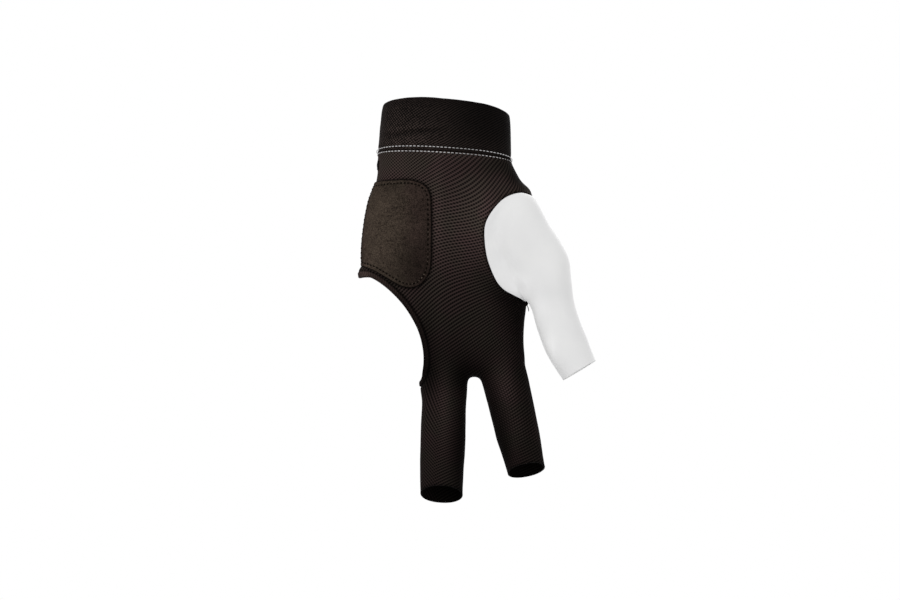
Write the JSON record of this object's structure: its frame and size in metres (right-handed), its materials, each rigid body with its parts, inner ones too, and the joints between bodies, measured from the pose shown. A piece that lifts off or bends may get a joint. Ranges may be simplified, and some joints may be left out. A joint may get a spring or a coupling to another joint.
{
  "type": "billiard glove",
  "caption": "Left-hand bridge glove of black mesh with a wide wrist cuff, suede heel patch, pale thumb sleeve, open-tipped index and middle sleeves and one bound opening for the other fingers.",
  "frame": {"origin": "the centre of the wrist opening, where the wrist goes in", "axes": "+Z along the forearm, out of the wrist opening, so the fingers point down; -Y is the palm side; +X is the thumb side"},
  "size_m": [0.1172, 0.0447, 0.2001],
  "materials": {
    "mesh_cloth": "stretch mesh knit, small staggered holes, dull",
    "cuff_cloth": "fine elastic twill, dull",
    "thumb_cloth": "smooth pale stretch cloth",
    "suede": "dark brown suede, short nap",
    "binding_cloth": "folded edge tape, dull"
  },
  "bodies": {
    "root": {"wrist_cuff": "cuff_cloth", "palm_panel": "mesh_cloth", "back_panel": "mesh_cloth", "thumb_sleeve": "thumb_cloth", "palm_patch": "suede", "opening_binding": "binding_cloth"}
  },
  "joints": []
}
